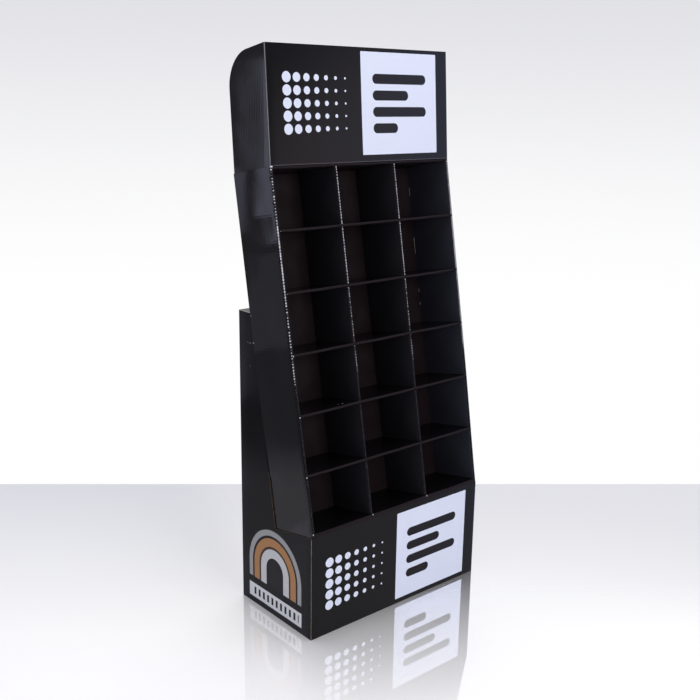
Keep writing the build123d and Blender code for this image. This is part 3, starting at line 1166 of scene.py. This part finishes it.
def tuft(place, across, width, along_it, length, curl=1.0):
    """One scrap, width by length millimetres, laid along two directions."""
    copy = duplicate(scrap, "tuft")
    off = across.cross(along_it)
    for point in copy.data.vertices:
        x, y, z = point.co
        rise = (z + 0.5 * curl * x * x) * min(width, length)
        point.co = place + (across * (x * width) + along_it * (y * length) + off * rise) * MM
    return copy


# places across and up the tray, in millimetres
AT_FOLDS = (
    (-332.6, 518), (-333.5, 347), (-332.9, 177), (-332.4, 12.5),
    (334.2, 520), (333.7, 350), (331.6, 180),
    (divider_x / MM + 1, 11.5), (divider_x / MM + COLUMN / MM + 1, 11.5),
)
ON_LIPS = ((-195.0, 359.0), (-179.4, 357.5), (-328.6, 688.0), (-328.2, 858.0))
FOLD_FRONT = -4.3
LIP_FRONT = -3.4
# in the tray's right rear corner: the corner across and into the tray, heights and lengths
REAR_CORNER = (327.8, 170)
DOWN_THE_CORNER = ((946, 26), (773, 48), (626, 10), (583, 8))
# the sliver on the bottom shelf
SLIVER_PLACE = (-100.3, 57, 13.0)
SLIVER_LENGTH = 106
SLIVER_WAY = (INTO_TRAY * SLIVER_LENGTH + SIDEWAYS * 12).normalized()
# on the base's left side: places, widths and heights
ON_SUPPORT = ((110, 825, 18, 1.6), (87, 829, 4, 4), (98, 906, 1.5, 4), (106, 756, 2, 3))

tufts = [tuft(in_tray(x, FOLD_FRONT, up), SIDEWAYS, 3.4, UP_TRAY, 3.6) for x, up in AT_FOLDS]
tufts += [tuft(in_tray(x, LIP_FRONT, up), SIDEWAYS, 1.5, UP_TRAY, 1.1) for x, up in ON_LIPS]
for up, length in DOWN_THE_CORNER:
    tufts.append(tuft(in_tray(*REAR_CORNER, up), INTO_TRAY, 2.6, UP_TRAY, length, 0.3))
tufts.append(tuft(in_tray(*SLIVER_PLACE), SLIVER_WAY, SLIVER_LENGTH, SIDEWAYS, 1.0, 0.0))
for y, z, width, length in ON_SUPPORT:
    tufts.append(tuft(on_side(y, z), BACKWARD, width, UPRIGHT, length, 0.0))
bpy.data.objects.remove(scrap)
bpy.ops.object.select_all(action="DESELECT")
for piece in tufts:
    piece.select_set(True)
bpy.context.view_layer.objects.active = tufts[0]
bpy.ops.object.join()
torn_paper = bpy.context.object
torn_paper.name = "torn_paper"
torn_paper.data.name = torn_paper.name
torn_paper.modifiers.new("paper", "SOLIDIFY").thickness = PAPER
bpy.ops.object.modifier_apply(modifier="paper")
torn_white, tree = new_material("torn_white_paper")
place = place_in_mm(tree)
fluff = noise(tree, place, 1.5, 4.0)
finish(tree, blend(tree, fluff, linear("9d9895"), linear("dcd8d6")), 0.9, fluff, 1.4, PAPER)
torn_paper.data.materials.append(torn_white)
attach(torn_paper, "root")
print("tufts:", len(tufts), "faces:", len(torn_paper.data.polygons))

# %% [markdown]
# ## Floor, room and lamps
#
# The stand is black and glossy, so most of what the eye sees on it is the room. The room
# here is pale behind the stand and dimmer elsewhere, as in a studio with one lit backdrop.
# The floor is a pale polished sheet that fades out into the backdrop.

# %% Floor
FLOOR_SOLID = 1.5
FLOOR_GONE = 2.6
FAR_WAY = (0.6216, 0.7833, 0)
FAR_EDGE = 0.8
LEFT_WAY = (-0.938, 0.346, 0)
LEFT_EDGE = 1.1
LEFT_GONE = 1.6
GREY_FROM = -0.3
GLOSS_FROM = -0.8
GLOSS_FULL = 0.82
LEFT_GLOSS = 0.35
bpy.ops.mesh.primitive_plane_add(size=2 * FLOOR_GONE, location=(0, 0, -0.2 * MM))
floor = bpy.context.object
floor.name = "floor"
floor_paint, tree = new_material("pale_polished_floor")
ground = add(tree, "TexCoord", out="Object")
distance = add(tree, "VectorMath", ground, operation="LENGTH", out="Value")
further = along(tree, ground, FAR_WAY)
tone = blend(tree, add(tree, "MapRange", further, GREY_FROM, FAR_EDGE), linear("ffffff"), linear("e3e4e9"))
sheet = add(
    tree,
    "BsdfPrincipled",
    named={"Base Color": tone, "Roughness": 0.5, "Emission Color": tone, "Emission Strength": 0.1},
)
mirror = add(tree, "BsdfGlossy", linear("fbfbfd"), 0.03)
leftward = along(tree, ground, LEFT_WAY)
far_gloss = add(tree, "MapRange", further, GLOSS_FROM, 0.0, 0.0, GLOSS_FULL)
left_gloss = spread(tree, leftward, 0.18, 0.45, 1.0, LEFT_GLOSS)
polished = add(tree, "MixShader", both(tree, far_gloss, left_gloss), sheet, mirror)
clear = add(tree, "BsdfTransparent")
fade = spread(tree, distance, FLOOR_SOLID, FLOOR_GONE)
ended = add(tree, "Math", further, FAR_EDGE, operation="GREATER_THAN")
left_out = spread(tree, leftward, LEFT_EDGE, LEFT_GONE)
add(tree, "OutputMaterial", add(tree, "MixShader", either(tree, fade, ended, left_out), polished, clear))
floor.data.materials.append(floor_paint)

# %% Room
BACKDROP_WAY = Vector((0.65, 0.76, 0.0)).normalized()
WALL_WAY = (0.80, -0.60, -0.05)
HIGH_WALL_WAY = (0.72, -0.58, 0.72)
WALL_SPREAD = (0.27, 0.42)
BLUE_GAIN = 1.3
# heights, as sines of the angle over the horizon, between which the backdrop changes its tone
WHITE_TO_GREY = (-0.21, 0.2)
GREY_TO_PALE = (0.1, 0.2)
PALE_TO_WHITE = (0.386, 0.515)
world = bpy.data.worlds.new("studio")
bpy.context.scene.world = world
world.use_nodes = True
tree = world.node_tree
tree.nodes.clear()
look = add(tree, "TexCoord", out="Generated")
height = along(tree, look, (0, 0, 1))
backdrop = linear("ffffff")
for stretch, code in ((WHITE_TO_GREY, "dadae0"), (GREY_TO_PALE, "e6e6ea"), (PALE_TO_WHITE, "ffffff")):
    backdrop = blend(tree, spread(tree, height, *stretch), backdrop, linear(code))
towards = along(tree, look, BACKDROP_WAY)
room = blend(tree, spread(tree, towards, 0.3, 0.7), linear("8f8f96"), backdrop)
squashed = add(tree, "VectorMath", look, (1.0, 1.0, 1.5), operation="MULTIPLY")
away = add(tree, "VectorMath", squashed, WALL_WAY, operation="DISTANCE", out="Value")
above = add(tree, "VectorMath", squashed, HIGH_WALL_WAY, operation="DISTANCE", out="Value")
away = add(tree, "Math", away, above, operation="MINIMUM")
rightward = spread(tree, along(tree, look, (1, 0, 0)), 0.6, 0.74)
blue_light = tuple(BLUE_GAIN * channel for channel in linear("cdd7ff"))
wall_light = blend(tree, rightward, linear("fbf0f2"), blue_light)
room = blend(tree, spread(tree, away, *WALL_SPREAD, 1.0, 0.0), room, wall_light)
add(tree, "OutputWorld", add(tree, "Background", room, 1.0))


# %% Lamps
def softbox(name, place, aim, size, power, tint="ffffff"):
    """A rectangular soft lamp that the camera doesn't see itself."""
    bpy.ops.object.light_add(type="AREA", location=place)
    lamp = bpy.context.object
    lamp.name = name
    lamp.data.shape = "RECTANGLE"
    lamp.data.size, lamp.data.size_y = size
    lamp.data.energy = power
    lamp.data.color = linear(tint)[:3]
    lamp.rotation_mode = "QUATERNION"
    lamp.rotation_quaternion = (Vector(place) - Vector(aim)).to_track_quat("Z", "Y")
    lamp.visible_camera = False


PANES_Y = 1.8
PANES = (  # left, right, low and high edge in metres, and power for a square metre
    ("left_window_head", -2.1, -1.541, 1.17, 1.68, 5.2),
    ("left_window_frame", -1.541, -1.52, 1.17, 1.67, 2.2),
    ("left_window", -2.1, -1.555, 0.93, 1.17, 5.6),
    ("left_window_sill", -2.1, -1.6, 0.8, 0.93, 5.0),
    ("left_window_low_pane", -2.1, -1.53, 0.24, 0.75, 0.9),
    ("left_side_pane", -1.495, -1.25, 0.86, 1.17, 3.0),
    ("left_card", -1.522, -1.2, 0.02, 0.5, 2.6),
)
softbox("key_softbox", (-0.1, -2.9, 1.8), (0, 0, 0.9), (1.6, 1.2), 31, "fffaf8")
softbox("ceiling_softbox", (0, -0.2, 3.4), (0, 0, 0), (3.0, 3.0), 60)
for name, left, right, low, high, strength in PANES:
    x, z = (left + right) / 2, (low + high) / 2
    size = (right - left, high - low)
    softbox(name, (x, PANES_Y, z), (x, 0, z), size, strength * size[0] * size[1], "dfe0ff")
